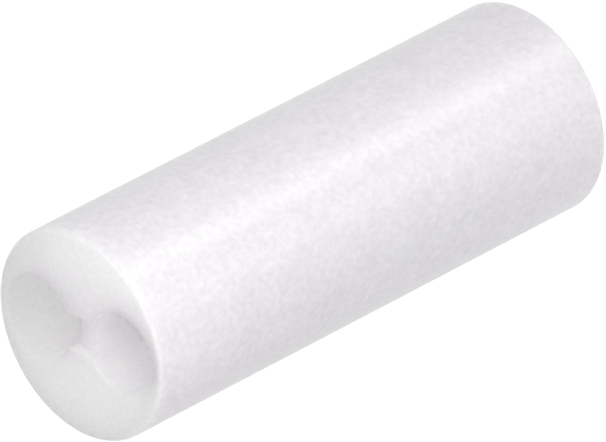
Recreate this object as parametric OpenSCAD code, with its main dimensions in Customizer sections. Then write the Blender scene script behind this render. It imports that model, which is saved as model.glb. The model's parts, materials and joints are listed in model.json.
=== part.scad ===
// Twin-bore spacer for a 5 mm indicator LED, moulded in one piece.
// It stands on the circuit board at z = 0, and the LED's flange sits on its upper face.

/* [Lead channels] */
// Distance between the two lead channels, centre to centre
lead_pitch = 2.54; // [2.3:0.01:3]
// Diameter of each lead channel
channel_d = 1.96; // [1.4:0.02:2.1]

/* [Body] */
// Length of the spacer, from the board to the LED
body_l = 14; // [3:0.5:30]
// Thinnest wall, outside each lead channel
side_wall = 0.25; // [0.22:0.01:0.6]
// Radius that rounds the outer edge of both end faces
edge_r = 0.12; // [0.05:0.01:0.14]

/* [LED end] */
// How far the web between the channels stops short of the LED end
web_drop = 0.32; // [0.1:0.02:1.5]
// Width of the gap that this leaves between the channels
web_gap_w = 0.89; // [0.5:0.01:1.2]
// Chamfer round the channels' mouths and along the gap between them
mouth_chamfer = 0.04; // [0.02:0.01:0.06]

/* [Hidden] */
$fn = 96;
body_r = (lead_pitch + channel_d) / 2 + side_wall;
channel_x = lead_pitch / 2;
overshoot = 0.5;

// Outer wall, turned about the Z axis, with both outer edges rounded.
module barrel() {
    rotate_extrude() {
        square([body_r - edge_r, body_l]);
        translate([0, edge_r])
            square([body_r, body_l - 2 * edge_r]);
        for (z = [edge_r, body_l - edge_r])
            translate([body_r - edge_r, z])
                circle(r = edge_r);
    }
}

// One channel, straight through from end to end, with its mouth chamfered on the LED side.
module lead_channel() {
    translate([0, 0, -overshoot])
        cylinder(h = body_l + 2 * overshoot, d = channel_d);
    translate([0, 0, body_l - mouth_chamfer])
        cylinder(
            h = mouth_chamfer + overshoot,
            r1 = channel_d / 2,
            r2 = channel_d / 2 + mouth_chamfer + overshoot
        );
}

// Gap above the web, through which the two channels open into each other.
// Its walls stand upright and end in the same chamfer as the mouths.
module web_gap() {
    half_w = web_gap_w / 2;
    spread = half_w + mouth_chamfer + overshoot;
    translate([-channel_x, 0, body_l])
        rotate([90, 0, 90])
            linear_extrude(lead_pitch)
                polygon([
                    [-half_w, -web_drop],
                    [half_w, -web_drop],
                    [half_w, -mouth_chamfer],
                    [spread, overshoot],
                    [-spread, overshoot],
                    [-half_w, -mouth_chamfer]
                ]);
}

// The whole spacer.
module spacer_body() {
    color("whitesmoke")
        difference() {
            barrel();
            for (side = [-1, 1])
                translate([side * channel_x, 0, 0])
                    lead_channel();
            web_gap();
        }
}

spacer_body();
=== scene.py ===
"""Dresses the LED spacer: one piece of natural nylon that stands on its board end on a pale floor."""

import json
import logging
import math
from dataclasses import dataclass
from enum import Enum

import bmesh
import bpy
from mathutils import Matrix, Vector


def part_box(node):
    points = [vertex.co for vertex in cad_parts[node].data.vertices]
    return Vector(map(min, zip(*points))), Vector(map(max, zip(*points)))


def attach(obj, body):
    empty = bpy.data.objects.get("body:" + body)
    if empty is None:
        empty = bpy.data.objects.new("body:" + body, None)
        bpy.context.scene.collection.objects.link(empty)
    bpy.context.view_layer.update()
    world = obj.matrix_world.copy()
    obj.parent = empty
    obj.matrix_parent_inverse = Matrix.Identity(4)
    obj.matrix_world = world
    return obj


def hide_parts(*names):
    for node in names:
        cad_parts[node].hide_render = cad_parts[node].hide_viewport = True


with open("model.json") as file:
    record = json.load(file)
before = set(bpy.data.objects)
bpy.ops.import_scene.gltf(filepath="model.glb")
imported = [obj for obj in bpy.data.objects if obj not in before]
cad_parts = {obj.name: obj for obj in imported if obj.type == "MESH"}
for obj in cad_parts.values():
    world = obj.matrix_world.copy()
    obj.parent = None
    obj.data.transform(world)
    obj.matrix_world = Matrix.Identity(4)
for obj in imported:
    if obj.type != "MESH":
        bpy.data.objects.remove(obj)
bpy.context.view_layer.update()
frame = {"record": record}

log = logging.getLogger("led_spacer")

MM = 0.001
RENDER_PX = (606, 442)

UP = Vector((0.0, 0.0, 1.0))

# A Mix node has a socket of each kind for every value: these are the ones for colours.
MIX_COLOUR_A = 6
MIX_COLOUR_B = 7
MIX_COLOUR_RESULT = 2

Point = tuple[float, float, float]
Colour = tuple[float, float, float]
Outline = list[tuple[float, float]]
Tree = bpy.types.NodeTree
Socket = bpy.types.NodeSocket


class LampShape(Enum):
    """The outlines that a lamp may have, by Blender's names."""

    ROUND = "DISK"
    STRIP = "RECTANGLE"


def mount_dims(name: str) -> tuple[Vector, dict[str, float]]:
    """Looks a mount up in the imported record.

    Args:
        name: the mount's name.

    Returns:
        The mount's place in millimetres, and its dims.
    """
    mount = next(m for m in frame["record"]["mounts"] if m["name"] == name)
    return Vector(mount["pos_m"]) / MM, mount["dims"]


def linked(name: str, points: list[Point], faces: list[tuple[int, ...]]) -> bpy.types.Object:
    """Makes an object from points in millimetres and links it to the scene.

    Args:
        name: the object's name.
        points: each point's x, y and z.
        faces: the numbers of each face's points, anticlockwise from outside.

    Returns:
        The object, in metres.
    """
    mesh = bpy.data.meshes.new(name)
    mesh.from_pydata([tuple(v * MM for v in point) for point in points], [], faces)
    piece = bpy.data.objects.new(name, mesh)
    bpy.context.scene.collection.objects.link(piece)
    return piece


def turned(name: str, profile: Outline, centre_x: float, sides: int) -> bpy.types.Object:
    """Turns a profile about a line that stands on the X axis.

    Args:
        name: the object's name.
        profile: each ring's radius and height in millimetres, from the foot up.
        centre_x: where the line stands.
        sides: how many sides stand for a full turn.

    Returns:
        A closed solid with a flat cap at each end.
    """
    turns = [2 * math.pi * i / sides for i in range(sides)]
    points = [(centre_x + r * math.cos(a), r * math.sin(a), z) for r, z in profile for a in turns]
    faces = [tuple(reversed(range(sides)))]
    for low in range(0, sides * (len(profile) - 1), sides):
        for i in range(sides):
            j = (i + 1) % sides
            faces.append((low + i, low + j, low + sides + j, low + sides + i))
    faces.append(tuple(range(len(points) - sides, len(points))))
    return linked(name, points, faces)


def prism(name: str, outline: Outline, low: float, high: float) -> bpy.types.Object:
    """Makes an upright prism.

    Args:
        name: the object's name.
        outline: its outline in millimetres, anticlockwise from above.
        low: the height of its foot.
        high: the height of its top.

    Returns:
        The closed solid.
    """
    count = len(outline)
    points = [(x, y, z) for z in (low, high) for x, y in outline]
    faces = [tuple(reversed(range(count))), tuple(range(count, 2 * count))]
    for i in range(count):
        j = (i + 1) % count
        faces.append((i, j, count + j, count + i))
    return linked(name, points, faces)


def settle(piece: bpy.types.Object) -> None:
    """Turns a piece's modifiers into plain mesh.

    Args:
        piece: the piece.
    """
    graph = bpy.context.evaluated_depsgraph_get()
    mesh = bpy.data.meshes.new_from_object(piece.evaluated_get(graph), depsgraph=graph)
    piece.modifiers.clear()
    piece.data = mesh


def cut(piece: bpy.types.Object, cutters: list[bpy.types.Object]) -> None:
    """Cuts solids out of a piece and clears them away.

    Args:
        piece: the piece that is cut.
        cutters: the solids.
    """
    for cutter in cutters:
        modifier = piece.modifiers.new(cutter.name, "BOOLEAN")
        modifier.operation = "DIFFERENCE"
        modifier.solver = "EXACT"
        modifier.object = cutter
    settle(piece)
    for cutter in cutters:
        bpy.data.objects.remove(cutter)


def combined(tree: Tree, operation: str, first: Socket, second: Socket | float) -> Socket:
    """Combines two values with a Math node.

    Args:
        tree: the material's nodes.
        operation: the node's operation, by Blender's name.
        first: one value.
        second: the other value, as a socket or a number.

    Returns:
        The socket that holds the result.
    """
    node = tree.nodes.new("ShaderNodeMath")
    node.operation = operation
    tree.links.new(first, node.inputs[0])
    if isinstance(second, Socket):
        tree.links.new(second, node.inputs[1])
    else:
        node.inputs[1].default_value = second
    return node.outputs[0]


def mixed(tree: Tree, share: Socket, first: Socket, second: Socket) -> Socket:
    """Mixes two shaders.

    Args:
        tree: the nodes.
        share: how much of the second shader shows, from 0 to 1.
        first: the shader at 0.
        second: the shader at 1.

    Returns:
        The mixed shader.
    """
    node = tree.nodes.new("ShaderNodeMixShader")
    tree.links.new(share, node.inputs[0])
    tree.links.new(first, node.inputs[1])
    tree.links.new(second, node.inputs[2])
    return node.outputs[0]


def mapped(
    tree: Tree,
    value: Socket,
    limits: tuple[float, float],
    levels: tuple[float, float],
    smooth: bool = False,
) -> Socket:
    """Maps a value from one range to another, and holds it there.

    Args:
        tree: the material's nodes.
        value: the value.
        limits: where the first range starts and ends.
        levels: where the second range starts and ends.
        smooth: whether the change eases in and out.

    Returns:
        The socket that holds the new value.
    """
    node = tree.nodes.new("ShaderNodeMapRange")
    if smooth:
        node.interpolation_type = "SMOOTHSTEP"
    node.inputs["From Min"].default_value = limits[0]
    node.inputs["From Max"].default_value = limits[1]
    node.inputs["To Min"].default_value = levels[0]
    node.inputs["To Max"].default_value = levels[1]
    tree.links.new(value, node.inputs["Value"])
    return node.outputs["Result"]


@dataclass(frozen=True)
class Blend:
    """A value that changes smoothly from the inner surfaces to the barrel's outer skin.

    It starts to change at one depth below the skin, and has the skin's level at a smaller depth.
    """

    deep_mm: float
    shallow_mm: float
    inside: float
    skin: float

    def across(self, tree: Tree, reach: Socket, body_r: float, unit: float = 1.0) -> Socket:
        """Adds the blend to a material.

        Args:
            tree: the material's nodes.
            reach: the distance from the spacer's axis, in metres.
            body_r: the barrel's radius in millimetres.
            unit: what the two levels are multiplied by.

        Returns:
            The socket that holds the value.
        """
        limits = ((body_r - self.deep_mm) * MM, (body_r - self.shallow_mm) * MM)
        levels = (self.inside * unit, self.skin * unit)
        return mapped(tree, reach, limits, levels, smooth=True)


@dataclass(frozen=True)
class Mottle:
    """An even noise that swings a value a little round its level.

    It holds how fine the noise is, how many finer layers it has and how strong they are, and between which
    of its own values it swings.
    """

    per_mm: float
    detail: float
    sharpness: float = 0.6
    spread: tuple[float, float] = (0.2, 0.8)

    def noise(self, tree: Tree, place: Socket) -> Socket:
        """Adds the noise.

        Args:
            tree: the material's nodes.
            place: the point, in metres.

        Returns:
            The socket that holds the noise, round 0.5.
        """
        node = tree.nodes.new("ShaderNodeTexNoise")
        node.inputs["Scale"].default_value = self.per_mm / MM
        node.inputs["Detail"].default_value = self.detail
        node.inputs["Roughness"].default_value = self.sharpness
        tree.links.new(place, node.inputs["Vector"])
        return node.outputs[0]

    def factor(self, tree: Tree, noise: Socket, share: float) -> Socket:
        """Turns the noise into a factor near 1.

        Args:
            tree: the material's nodes.
            noise: the noise, round 0.5.
            share: how far the factor may fall or rise from 1.

        Returns:
            The socket that holds the factor.
        """
        return mapped(tree, noise, self.spread, (1.0 - share, 1.0 + share))


@dataclass(frozen=True)
class NylonFinish:
    """Natural nylon: milky, with a satin skin.

    Light wanders further and more freely below the end faces and the channel walls than below the moulded
    outer skin, and the skin is glossier than the ends. The end faces and the channel walls are also
    painted
    lighter than the skin: painted light that brightens them in place of light reaching them through the
    nylon.
    """

    body_r: float
    # The inner surfaces' colour is painted lighter than the skin's: painted light on the channels and end
    # faces.
    painted_light_inside_colour: Colour = (0.978, 0.92, 0.979)
    skin_colour: Colour = (0.867, 0.844, 0.870)
    scatter: Colour = (1.0, 1.0, 1.0)
    # This blend carries the painted light: it sets where the lighter inner colour gives way to the skin's
    # colour.
    skin: Blend = Blend(deep_mm=0.10, shallow_mm=0.02, inside=0.0, skin=1.0)
    depth_mm: Blend = Blend(deep_mm=0.10, shallow_mm=0.02, inside=7.0, skin=0.35)
    roughness: Blend = Blend(deep_mm=0.03, shallow_mm=0.0005, inside=0.5, skin=0.31)
    ior: float = 1.53
    grain: Mottle = Mottle(per_mm=7.0, detail=2.0)
    grain_share: float = 0.08
    cloud: Mottle = Mottle(per_mm=1.3, detail=2.0)
    cloud_share: float = 0.03
    satin_share: float = 0.07
    bump_mm: float = 0.0015

    def reach(self, tree: Tree, place: Socket) -> Socket:
        """Measures how far a point is from the spacer's axis.

        Args:
            tree: the material's nodes.
            place: the point, in metres.

        Returns:
            The socket that holds the distance, in metres.
        """
        flat = tree.nodes.new("ShaderNodeVectorMath")
        flat.operation = "MULTIPLY"
        flat.inputs[1].default_value = (1.0, 1.0, 0.0)
        length = tree.nodes.new("ShaderNodeVectorMath")
        length.operation = "LENGTH"
        tree.links.new(place, flat.inputs[0])
        tree.links.new(flat.outputs[0], length.inputs[0])
        return length.outputs["Value"]

    def colour(self, tree: Tree, reach: Socket, factor: Socket) -> Socket:
        """Blends the inner colour, painted lighter as painted light, into the skin's colour and mottles
        them.

        Args:
            tree: the material's nodes.
            reach: the distance from the spacer's axis, in metres.
            factor: the mottle, near 1.

        Returns:
            The socket that holds the colour.
        """
        # The mix lays the painted light: lighter colour on the inner surfaces, the skin's colour on the
        # barrel.
        mix = tree.nodes.new("ShaderNodeMix")
        mix.data_type = "RGBA"
        mix.inputs[MIX_COLOUR_A].default_value = (*self.painted_light_inside_colour, 1.0)
        mix.inputs[MIX_COLOUR_B].default_value = (*self.skin_colour, 1.0)
        tree.links.new(self.skin.across(tree, reach, self.body_r), mix.inputs[0])
        mottled = tree.nodes.new("ShaderNodeVectorMath")
        mottled.operation = "SCALE"
        tree.links.new(mix.outputs[MIX_COLOUR_RESULT], mottled.inputs[0])
        tree.links.new(factor, mottled.inputs["Scale"])
        return mottled.outputs[0]

    def bump(self, tree: Tree, height: Socket) -> Socket:
        """Raises a fine grain.

        Args:
            tree: the material's nodes.
            height: the grain's height, from 0 to 1.

        Returns:
            The socket that holds the bent normal.
        """
        node = tree.nodes.new("ShaderNodeBump")
        node.inputs["Strength"].default_value = 1.0
        node.inputs["Distance"].default_value = self.bump_mm * MM
        tree.links.new(height, node.inputs["Height"])
        return node.outputs["Normal"]

    def make(self) -> bpy.types.Material:
        """Builds the material.

        Returns:
            The material.
        """
        material = bpy.data.materials.new("natural_nylon")
        material.use_nodes = True
        tree = material.node_tree
        shader = tree.nodes["Principled BSDF"]
        shader.subsurface_method = "RANDOM_WALK"
        shader.inputs["Subsurface Weight"].default_value = 1.0
        shader.inputs["Subsurface Radius"].default_value = self.scatter
        shader.inputs["IOR"].default_value = self.ior
        place = tree.nodes.new("ShaderNodeTexCoord").outputs["Object"]
        reach = self.reach(tree, place)
        grain = self.grain.noise(tree, place)
        cloud = self.cloud.noise(tree, place)
        fine = self.grain.factor(tree, grain, self.grain_share)
        broad = self.cloud.factor(tree, cloud, self.cloud_share)
        colour = self.colour(tree, reach, combined(tree, "MULTIPLY", fine, broad))
        depth = self.depth_mm.across(tree, reach, self.body_r, unit=MM)
        roughness = self.roughness.across(tree, reach, self.body_r)
        satin = self.cloud.factor(tree, cloud, self.satin_share)
        tree.links.new(colour, shader.inputs["Base Color"])
        tree.links.new(depth, shader.inputs["Subsurface Scale"])
        tree.links.new(combined(tree, "MULTIPLY", roughness, satin), shader.inputs["Roughness"])
        tree.links.new(self.bump(tree, grain), shader.inputs["Normal"])
        return material


class End(Enum):
    """The spacer's two end faces."""

    BOARD = "board"
    LED = "led"


@dataclass
class SpacerMoulding:
    """The one-piece body: a round barrel, two lead channels, and a web that stops short of the LED end.

    The gap above the web runs into each channel through a rounded corner, which leaves the channel at one
    of its sides, so that no sliver is left beside it. Lengths are in millimetres.
    """

    channel_r: float
    channel_x: float
    body_r: float
    length: float
    web_drop: float
    edge_r: float = 0.12
    gap_half_w: float = 0.445
    mouth_r: float = 0.04
    sides: int = 256
    channel_sides: int = 192
    corner_side: int = 16
    corner_steps: int = 6
    overshoot: float = 1.0
    sharp_deg: float = 35.0
    round_steps: int = 4
    round_profile: float = 0.5
    edge_step_deg: int = 10
    weld_mm: float = 0.002
    level_mm: float = 0.001

    @classmethod
    def from_frame(cls) -> "SpacerMoulding":
        """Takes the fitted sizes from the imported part.

        Returns:
            The moulding, at those sizes.
        """
        place, dims = mount_dims("lead_channel_b")
        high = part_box("spacer_body")[1]
        return cls(
            channel_r=dims["r_mm"],
            channel_x=place.x,
            body_r=high.x / MM,
            length=high.z / MM,
            web_drop=high.z / MM - dims["length_mm"],
        )

    @property
    def corner_turn(self) -> float:
        """Where a corner leaves its channel, as an angle at the channel's centre."""
        return 2 * math.pi * self.corner_side / self.channel_sides

    @property
    def corner_r(self) -> float:
        """The corner's radius, which is what the channel and the gap leave for it."""
        rise = math.sin(self.corner_turn)
        return (self.channel_r * rise - self.gap_half_w) / (1 - rise)

    @property
    def web_z(self) -> float:
        """The height of the web's top in millimetres."""
        return self.length - self.web_drop

    def end_z(self, end: End) -> float:
        """The height of an end face in millimetres."""
        return self.length if end is End.LED else 0.0

    def profile(self) -> Outline:
        """Works out the barrel's outer line, with both edges rounded.

        Returns:
            Each ring's radius and height, from the foot up.
        """
        steps = [math.radians(a) for a in range(0, 90 + 1, self.edge_step_deg)]
        inner = self.body_r - self.edge_r
        foot = [(inner + self.edge_r * math.sin(a), self.edge_r * (1 - math.cos(a))) for a in steps]
        return foot + [(r, self.length - z) for r, z in reversed(foot)]

    def corner(self) -> Outline:
        """Works out one rounded corner of the gap.

        Returns:
            Its points, from the right channel to the gap's upper wall.
        """
        turn, radius = self.corner_turn, self.corner_r
        centre_x = self.channel_x - (self.channel_r + radius) * math.cos(turn)
        centre_y = self.gap_half_w + radius
        step = (math.pi / 2 - turn) / self.corner_steps
        angles = [-turn - step * i for i in range(self.corner_steps + 1)]
        return [(centre_x + radius * math.cos(a), centre_y + radius * math.sin(a)) for a in angles]

    def gap_outline(self) -> Outline:
        """Works out the gap's outline, which is closed through the middle of each channel.

        Returns:
            Its points, anticlockwise from above.
        """
        upper_right = self.corner()
        upper_left = [(-x, y) for x, y in reversed(upper_right)]
        lower_left = [(-x, -y) for x, y in upper_right]
        lower_right = [(x, -y) for x, y in reversed(upper_right)]
        left, right = (-self.channel_x, 0.0), (self.channel_x, 0.0)
        return [*upper_right, *upper_left, left, *lower_left, *lower_right, right]

    def cutters(self) -> list[bpy.types.Object]:
        """Makes what is cut out of the barrel.

        Returns:
            Solids for the two channels and for the gap above the web.
        """
        low, high = -self.overshoot, self.length + self.overshoot
        bore = [(self.channel_r, low), (self.channel_r, high)]
        centres = (-self.channel_x, self.channel_x)
        solids = [turned("channel_cutter", bore, x, self.channel_sides) for x in centres]
        solids.append(prism("gap_cutter", self.gap_outline(), self.web_z, high))
        return solids

    def lies_at(self, edge: bmesh.types.BMEdge, height: float, half_width: float) -> bool:
        """Tells whether an edge lies level at a height.

        Args:
            edge: the edge.
            height: the height in millimetres.
            half_width: how far from the X axis it may lie, in millimetres.

        Returns:
            True where both of its ends do.
        """
        places = [v.co / MM for v in edge.verts]
        return all(abs(p.z - height) < self.level_mm and abs(p.y) < half_width for p in places)

    def sharp_edges(
        self, mesh: bmesh.types.BMesh, height: float, half_width: float
    ) -> list[bmesh.types.BMEdge]:
        """Finds the sharp outer edges at one height.

        Args:
            mesh: the body.
            height: the height in millimetres.
            half_width: how far from the X axis they may lie, in millimetres.

        Returns:
            The edges.
        """
        level = [edge for edge in mesh.edges if self.lies_at(edge, height, half_width)]
        limit = math.radians(self.sharp_deg)
        return [edge for edge in level if edge.is_convex and edge.calc_face_angle(0.0) > limit]

    def soften(self, piece: bpy.types.Object) -> None:
        """Rounds the mouths at both ends and the web's own edges.

        Args:
            piece: the body after cutting.
        """
        mesh = bmesh.new()
        mesh.from_mesh(piece.data)
        bmesh.ops.remove_doubles(mesh, verts=mesh.verts, dist=self.weld_mm * MM)
        for height, half_width in (
            (self.end_z(End.LED), self.body_r),
            (self.end_z(End.BOARD), self.body_r),
            (self.web_z, self.gap_half_w - self.mouth_r),
        ):
            edges = self.sharp_edges(mesh, height, half_width)
            log.info("%s: %d edges rounded at z %.2f mm", piece.name, len(edges), height)
            bmesh.ops.bevel(
                mesh,
                geom=edges,
                offset=self.mouth_r * MM,
                segments=self.round_steps,
                profile=self.round_profile,
                affect="EDGES",
                clamp_overlap=False,
            )
        mesh.to_mesh(piece.data)
        mesh.free()
        piece.data.polygons.foreach_set("use_smooth", [True] * len(piece.data.polygons))
        piece.data.set_sharp_from_angle(angle=math.radians(self.sharp_deg))

    def make(self) -> bpy.types.Object:
        """Builds the body.

        Returns:
            The body, as plain mesh.
        """
        piece = turned("spacer_moulding", self.profile(), 0.0, self.sides)
        cut(piece, self.cutters())
        self.soften(piece)
        piece.modifiers.new("even_normals", "WEIGHTED_NORMAL").keep_sharp = True
        settle(piece)
        return piece

    def dress(self) -> bpy.types.Object:
        """Builds the body, gives it its finish and says what it stands for.

        Returns:
            The dressed piece.
        """
        piece = self.make()
        piece.data.materials.append(NylonFinish(self.body_r).make())
        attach(piece, "root")
        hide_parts("spacer_body")
        return piece


@dataclass(frozen=True)
class FloorFinish:
    """A matt white floor that shows as plain white, keeps a faint shadow and is clear from below.

    The shadow's share is how much of the matt sheet shows through the white, and shadow rays pass.
    """

    colour: float = 0.9
    roughness: float = 0.9
    glow: float = 1.1
    shadow_share: float = 0.12

    def make(self) -> bpy.types.Material:
        """Builds the material.

        Returns:
            The material.
        """
        material = bpy.data.materials.new("pale_floor")
        material.use_nodes = True
        material.cycles.emission_sampling = "NONE"
        tree = material.node_tree
        matt = tree.nodes["Principled BSDF"]
        matt.inputs["Base Color"].default_value = (self.colour, self.colour, self.colour, 1.0)
        matt.inputs["Roughness"].default_value = self.roughness
        glow = tree.nodes.new("ShaderNodeEmission")
        glow.inputs["Strength"].default_value = self.glow
        clear = tree.nodes.new("ShaderNodeBsdfTransparent")
        path = tree.nodes.new("ShaderNodeLightPath").outputs
        below = tree.nodes.new("ShaderNodeNewGeometry").outputs["Backfacing"]
        seen = combined(tree, "MAXIMUM", path["Is Camera Ray"], path["Is Glossy Ray"])
        seen = combined(tree, "MAXIMUM", seen, path["Is Transmission Ray"])
        white = combined(tree, "MULTIPLY", seen, 1.0 - self.shadow_share)
        passed = combined(tree, "MAXIMUM", path["Is Shadow Ray"], below)
        sheet = mixed(tree, white, matt.outputs[0], glow.outputs[0])
        whole = mixed(tree, passed, sheet, clear.outputs[0])
        tree.links.new(whole, tree.nodes["Material Output"].inputs["Surface"])
        return material


@dataclass(frozen=True)
class Viewpoint:
    """A long lens that looks down on the LED end, rolled so that the spacer lies across the render.

    Attributes:
        turn_deg: how far the spacer's axis is turned away from the line of sight.
        roll_deg: how far the axis is rolled from the render's level line.
        hole_turn_deg: how far the line through both channels is turned about the axis.
        distance_mm: how far the lens is from the spacer's centre.
        px_per_mm: the scale at the spacer's centre.
        centre_px: where the spacer's centre shows, from the upper left.
        sensor_mm: the sensor's width.
        clip_m: the nearest and the furthest distance that show, in metres.
    """

    turn_deg: float = 52.1124
    roll_deg: float = 27.3067
    hole_turn_deg: float = 37.9
    distance_mm: float = 360.77
    px_per_mm: float = 45.4396
    centre_px: tuple[float, float] = (304.691, 219.334)
    sensor_mm: float = 36.0
    clip_m: tuple[float, float] = (0.01, 20.0)

    def axes(self) -> Matrix:
        """Works out how the camera is turned.

        The spacer's own x, y and z axes, as they lie in the render, are the matrix's rows.

        Returns:
            A matrix whose columns are the camera's right, up and back directions.
        """
        turn, roll, hole = (math.radians(a) for a in (self.turn_deg, self.roll_deg, self.hole_turn_deg))
        away = Vector((math.sin(turn) * math.cos(roll), math.sin(turn) * math.sin(roll), -math.cos(turn)))
        down = Vector((math.sin(roll), -math.cos(roll), 0.0))
        across = down.cross(away)
        x = across * math.cos(hole) + down * math.sin(hole)
        z = -away
        y = z.cross(x)
        return Matrix((x, y, z))

    def make(self, target: Vector) -> bpy.types.Object:
        """Sets the scene's camera.

        Args:
            target: the spacer's centre in millimetres.

        Returns:
            The camera.
        """
        axes = self.axes()
        right, up, back = (Vector(axes.col[i]) for i in range(3))
        data = bpy.data.cameras.new("camera")
        data.sensor_width = self.sensor_mm
        data.lens = self.px_per_mm * self.distance_mm * self.sensor_mm / RENDER_PX[0]
        data.clip_start, data.clip_end = self.clip_m
        camera = bpy.data.objects.new("camera", data)
        bpy.context.scene.collection.objects.link(camera)
        shift_x = (self.centre_px[0] - RENDER_PX[0] / 2) / self.px_per_mm
        shift_y = (RENDER_PX[1] / 2 - self.centre_px[1]) / self.px_per_mm
        place = target + back * self.distance_mm - right * shift_x - up * shift_y
        camera.matrix_world = Matrix.Translation(place * MM) @ axes.to_4x4()
        bpy.context.scene.camera = camera
        return camera


def hang(
    name: str, place: Vector, turn: Matrix, size: tuple[float, float], shape: LampShape, radiance: float
) -> None:
    """Hangs one lamp.

    Args:
        name: the lamp's name.
        place: where it hangs, in millimetres.
        turn: its own axes, as a matrix's columns; its light leaves against the third.
        size: its width and length in millimetres.
        shape: its outline.
        radiance: how bright its face is, where 1 is white.
    """
    data = bpy.data.lights.new(name, "AREA")
    data.shape = shape.value
    data.size = size[0] * MM
    area = size[0] * size[1] * MM * MM
    if shape is LampShape.STRIP:
        data.size_y = size[1] * MM
    else:
        area *= math.pi / 4
    data.energy = radiance * math.pi * area
    data.cycles.use_multiple_importance_sampling = False
    lamp = bpy.data.objects.new(name, data)
    bpy.context.scene.collection.objects.link(lamp)
    lamp.matrix_world = Matrix.Translation(place * MM) @ turn.to_4x4()
    lamp.visible_camera = False


@dataclass(frozen=True)
class RoundLamp:
    """A round soft lamp that lights the spacer from one side.

    Its direction is given by how far it stands towards +Y from the XZ plane, and how far it is swung
    from the LED end's direction towards +X.
    """

    name: str
    lift_deg: float
    swing_deg: float
    radiance: float
    spread_deg: float = 40.0
    distance_mm: float = 300.0

    def make(self, target: Vector) -> None:
        """Hangs the lamp.

        Args:
            target: the spacer's centre in millimetres.
        """
        lift, swing = math.radians(self.lift_deg), math.radians(self.swing_deg)
        level = math.cos(lift)
        aim = Vector((math.sin(swing) * level, math.sin(lift), math.cos(swing) * level))
        turn = aim.to_track_quat("Z", "Y").to_matrix()
        place = target + aim * self.distance_mm
        across = 2 * self.distance_mm * math.tan(math.radians(self.spread_deg) / 2)
        hang(self.name, place, turn, (across, across), LampShape.ROUND, self.radiance)


@dataclass(frozen=True)
class StripLamp:
    """A narrow lamp, hung where its glint falls on a chosen strip of the barrel.

    The strip is given by how far it lies across the barrel as seen, from -1 at the upper outline to 1 at
    the lower one.
    """

    name: str
    glint: tuple[float, float]
    radiance: float
    along_deg: float = 14.0
    distance_mm: float = 300.0

    def aim(self, share: float, view: Viewpoint) -> Vector:
        """Works out the direction in which a mirror on the barrel would show the lamp to the camera.

        Args:
            share: how far across the barrel the mirror lies, as the glint's limits are given.
            view: the viewpoint.

        Returns:
            A unit vector.
        """
        back = Vector(view.axes().col[2])
        flat = Vector((back.x, back.y, 0.0)).normalized()
        across = flat.cross(UP)
        normal = across * share + flat * math.sqrt(1 - share * share)
        return 2 * normal.dot(back) * normal - back

    def make(self, target: Vector, view: Viewpoint) -> None:
        """Hangs the lamp.

        Args:
            target: the spacer's centre in millimetres.
            view: the viewpoint.
        """
        first, last = (self.aim(share, view) for share in self.glint)
        middle = self.aim(sum(self.glint) / 2, view)
        width = 2 * self.distance_mm * math.tan(first.angle(last) / 2)
        length = 2 * self.distance_mm * math.tan(math.radians(self.along_deg) / 2)
        side = UP.cross(middle).normalized()
        turn = Matrix((side, middle.cross(side), middle)).transposed()
        place = target + middle * self.distance_mm
        hang(self.name, place, turn, (width, length), LampShape.STRIP, self.radiance)


@dataclass
class Studio:
    """The plain floor, the even world light and the soft lamps.

    The floor lies a small clearance below the spacer's foot, so that the two don't share a plane.
    """

    world_level: float = 0.12
    floor_radius_m: float = 3.0
    floor_sides: int = 96
    clearance_mm: float = 0.05
    round_lamps: tuple[RoundLamp, ...] = (
        RoundLamp("near_right", 30.0, 30.0, 2.9, distance_mm=45.0),
        RoundLamp("near_end", 30.0, 0.0, 0.55, distance_mm=45.0),
        RoundLamp("front_low", -25.0, 0.0, 2.3),
        RoundLamp("right", 12.0, 45.0, 1.85),
        RoundLamp("left", 12.0, -45.0, 1.2),
        RoundLamp("back", -60.0, 0.0, 0.5),
        RoundLamp("back_left", -20.0, -80.0, 0.8),
    )
    strip_lamps: tuple[StripLamp, ...] = (
        StripLamp("glint_edge", (-0.42, -0.32), 2.3),
        StripLamp("glint_bright", (-0.32, -0.20), 5.4),
        StripLamp("glint_soft", (-0.20, -0.02), 1.1),
        StripLamp("glint_low", (-0.02, 0.20), 2.1),
    )

    def world(self) -> None:
        """Lights the scene evenly, and shows as white."""
        world = bpy.data.worlds.new("studio")
        bpy.context.scene.world = world
        world.use_nodes = True
        tree = world.node_tree
        light = tree.nodes["Background"]
        shown = tree.nodes.new("ShaderNodeBackground")
        for node, strength in ((light, self.world_level), (shown, 1.0)):
            node.inputs["Color"].default_value = (1.0, 1.0, 1.0, 1.0)
            node.inputs["Strength"].default_value = strength
        path = tree.nodes.new("ShaderNodeLightPath").outputs
        sky = mixed(tree, path["Is Camera Ray"], light.outputs[0], shown.outputs[0])
        tree.links.new(sky, tree.nodes["World Output"].inputs["Surface"])

    def floor(self) -> bpy.types.Object:
        """Lays the floor.

        Returns:
            The floor.
        """
        bpy.ops.mesh.primitive_circle_add(
            vertices=self.floor_sides,
            radius=self.floor_radius_m,
            fill_type="NGON",
            location=(0, 0, -self.clearance_mm * MM),
        )
        floor = bpy.context.object
        floor.name = "floor"
        floor.data.materials.append(FloorFinish().make())
        return floor

    def lamps(self, target: Vector, view: Viewpoint) -> None:
        """Hangs every lamp.

        Args:
            target: the spacer's centre in millimetres.
            view: the viewpoint.
        """
        for lamp in self.round_lamps:
            lamp.make(target)
        for lamp in self.strip_lamps:
            lamp.make(target, view)
        log.info("studio: %d lamps", len(self.round_lamps) + len(self.strip_lamps))


def main() -> None:
    """Builds the spacer and the studio in order."""
    bpy.context.scene.view_settings.view_transform = "Standard"
    moulding = SpacerMoulding.from_frame()
    piece = moulding.dress()
    log.info("%s: %d faces", piece.name, len(piece.data.polygons))
    target = Vector((0.0, 0.0, moulding.length / 2))
    view = Viewpoint()
    view.make(target)
    studio = Studio()
    studio.world()
    studio.floor()
    studio.lamps(target, view)


if __name__ == "__main__":
    logging.basicConfig(level=logging.INFO, format="%(name)s: %(message)s")
    main()
